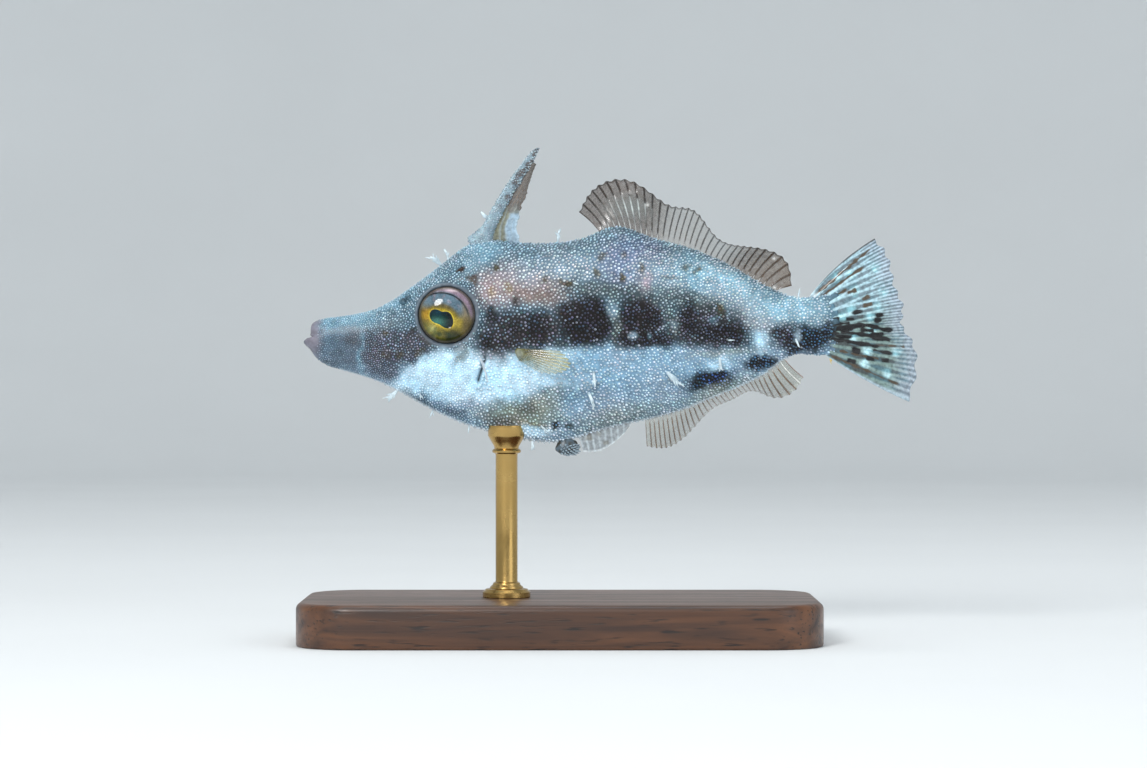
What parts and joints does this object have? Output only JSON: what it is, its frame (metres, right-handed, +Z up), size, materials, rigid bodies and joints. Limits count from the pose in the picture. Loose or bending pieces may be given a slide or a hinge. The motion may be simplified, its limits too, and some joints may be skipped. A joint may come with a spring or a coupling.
{
  "type": "slender filefish model",
  "caption": "Life-size still model of a young slender filefish, raised spine and fins spread, on a rod and a rounded base.",
  "frame": {"origin": "centre of the underside of the display stand's base", "axes": "+X from the snout to the tail fin, so the nose points to -X; +Z up through the back; +Y to the fish's right side, so the left flank of the picture faces -Y"},
  "size_m": [0.0646, 0.027, 0.0514],
  "materials": {
    "head_skin": "painted resin skin, satin, finely granular",
    "flank_skin": "painted resin skin, satin, finely granular",
    "stem_skin": "painted resin skin, satin, finely granular",
    "eye": "clear gloss over a painted iris",
    "spine_bone": "tinted resin, satin",
    "spine_web": "thin tinted resin, slightly see-through",
    "soft_dorsal_membrane": "thin tinted resin, slightly see-through",
    "anal_membrane": "thin tinted resin, slightly see-through",
    "tail_membrane": "thin tinted resin, slightly see-through",
    "pectoral_membrane": "thin tinted resin, slightly see-through",
    "ventral_flap_skin": "painted resin skin, satin",
    "pelvic_stub_scales": "painted resin, satin",
    "plinth_wood": "dark stained hardwood, oiled",
    "rod_brass": "turned brass, polished and lacquered"
  },
  "bodies": {
    "root": {"head": "head_skin", "torso": "flank_skin", "tail_stem": "stem_skin", "eye_left": "eye", "eye_right": "eye", "dorsal_spine": "spine_bone", "spine_web": "spine_web", "soft_dorsal_fin": "soft_dorsal_membrane", "anal_fin": "anal_membrane", "tail_fin": "tail_membrane", "pectoral_fin_left": "pectoral_membrane", "pectoral_fin_right": "pectoral_membrane", "ventral_flap": "ventral_flap_skin", "pelvic_stub": "pelvic_stub_scales", "stand_base": "plinth_wood", "stand_rod": "rod_brass"}
  },
  "joints": []
}
